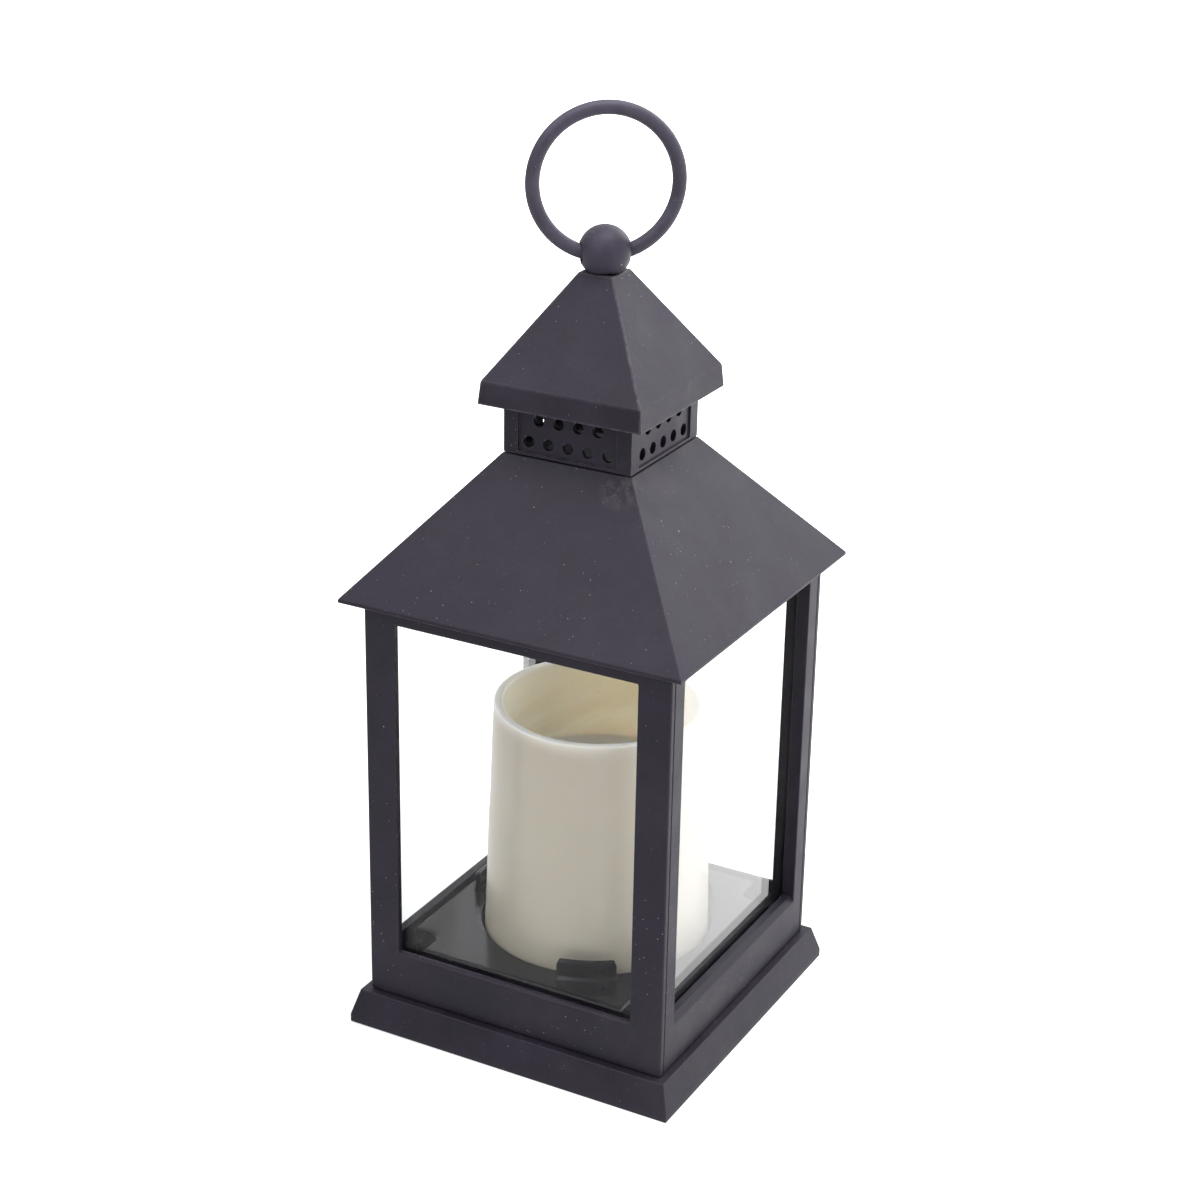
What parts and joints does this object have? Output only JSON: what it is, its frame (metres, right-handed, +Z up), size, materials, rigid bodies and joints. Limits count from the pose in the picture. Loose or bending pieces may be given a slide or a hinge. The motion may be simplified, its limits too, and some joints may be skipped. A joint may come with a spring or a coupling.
{
  "type": "battery candle lantern",
  "caption": "Square black plastic lantern with four clear windows, a hipped roof, a vented neck and cap, a hanging ring and a battery candle inside.",
  "frame": {"origin": "centre of the base's underside, on the surface the lantern stands on", "axes": "+Z up; -Y faces out of the front window; +X faces out of the right window"},
  "size_m": [0.1062, 0.1062, 0.2702],
  "materials": {
    "black_plastic": "satin",
    "housing_plastic": "satin",
    "clear_plastic": "clear",
    "candle_wax": "waxy",
    "steel": "zinc plated",
    "cell_can": "printed sleeve",
    "board": "solder mask",
    "led_epoxy": "diffuse epoxy",
    "wire": "insulation"
  },
  "bodies": {
    "lantern": {"base_tray": "black_plastic", "base_screw_1": "steel", "base_screw_2": "steel", "base_screw_3": "steel", "base_screw_4": "steel", "wall_front": "black_plastic", "wall_back": "black_plastic", "wall_left": "black_plastic", "wall_right": "black_plastic", "pane_front": "clear_plastic", "pane_back": "clear_plastic", "pane_left": "clear_plastic", "pane_right": "clear_plastic", "roof": "black_plastic", "vent_neck": "black_plastic", "cap": "black_plastic", "candle_shell": "candle_wax", "battery_housing": "housing_plastic", "contact_plate_1": "steel", "contact_plate_2": "steel", "contact_plate_3": "steel", "contact_plate_4": "steel", "contact_spring_1": "steel", "contact_spring_2": "steel", "contact_spring_3": "steel", "switch_can": "steel", "circuit_board": "board", "led_post": "housing_plastic", "led": "led_epoxy", "led_wire_1": "wire", "led_wire_2": "wire"},
    "finial": {"finial_ball": "black_plastic", "finial_screw": "steel"},
    "ring": {"hanging_ring": "black_plastic"},
    "switch": {"switch_slider": "black_plastic"},
    "door": {"battery_door": "housing_plastic", "door_screw": "steel"},
    "cell_1": {"battery_cell_1": "cell_can"},
    "cell_2": {"battery_cell_2": "cell_can"},
    "cell_3": {"battery_cell_3": "cell_can"}
  },
  "joints": [
    {"name": "finial_swivel", "type": "hinge", "parent": "lantern", "child": "finial", "pos_m": [0, 0, 0.2294], "axis": [0, 0, 1], "continuous": true},
    {"name": "ring_swing", "type": "hinge", "parent": "finial", "child": "ring", "pos_m": [0, 0, 0.2292], "axis": [0.788, 0.6157, 0], "range_deg": [-126, 126]},
    {"name": "switch_slide", "type": "slide", "parent": "lantern", "child": "switch", "axis": [1, 0, 0], "range_m": [-0.0025, 0.0025]},
    {"name": "door_off", "type": "slide", "parent": "lantern", "child": "door", "axis": [0, 0, -1], "range_m": [0, 0.05]},
    {"name": "cell_1_out", "type": "slide", "parent": "lantern", "child": "cell_1", "axis": [0, 0, -1], "range_m": [0, 0.03]},
    {"name": "cell_2_out", "type": "slide", "parent": "lantern", "child": "cell_2", "axis": [0, 0, -1], "range_m": [0, 0.03]},
    {"name": "cell_3_out", "type": "slide", "parent": "lantern", "child": "cell_3", "axis": [0, 0, -1], "range_m": [0, 0.03]}
  ],
  "couplings": [
    {"joint": "cell_1_out", "follows": "door_off", "ratio": 0.6},
    {"joint": "cell_2_out", "follows": "door_off", "ratio": 0.6},
    {"joint": "cell_3_out", "follows": "door_off", "ratio": 0.6}
  ]
}
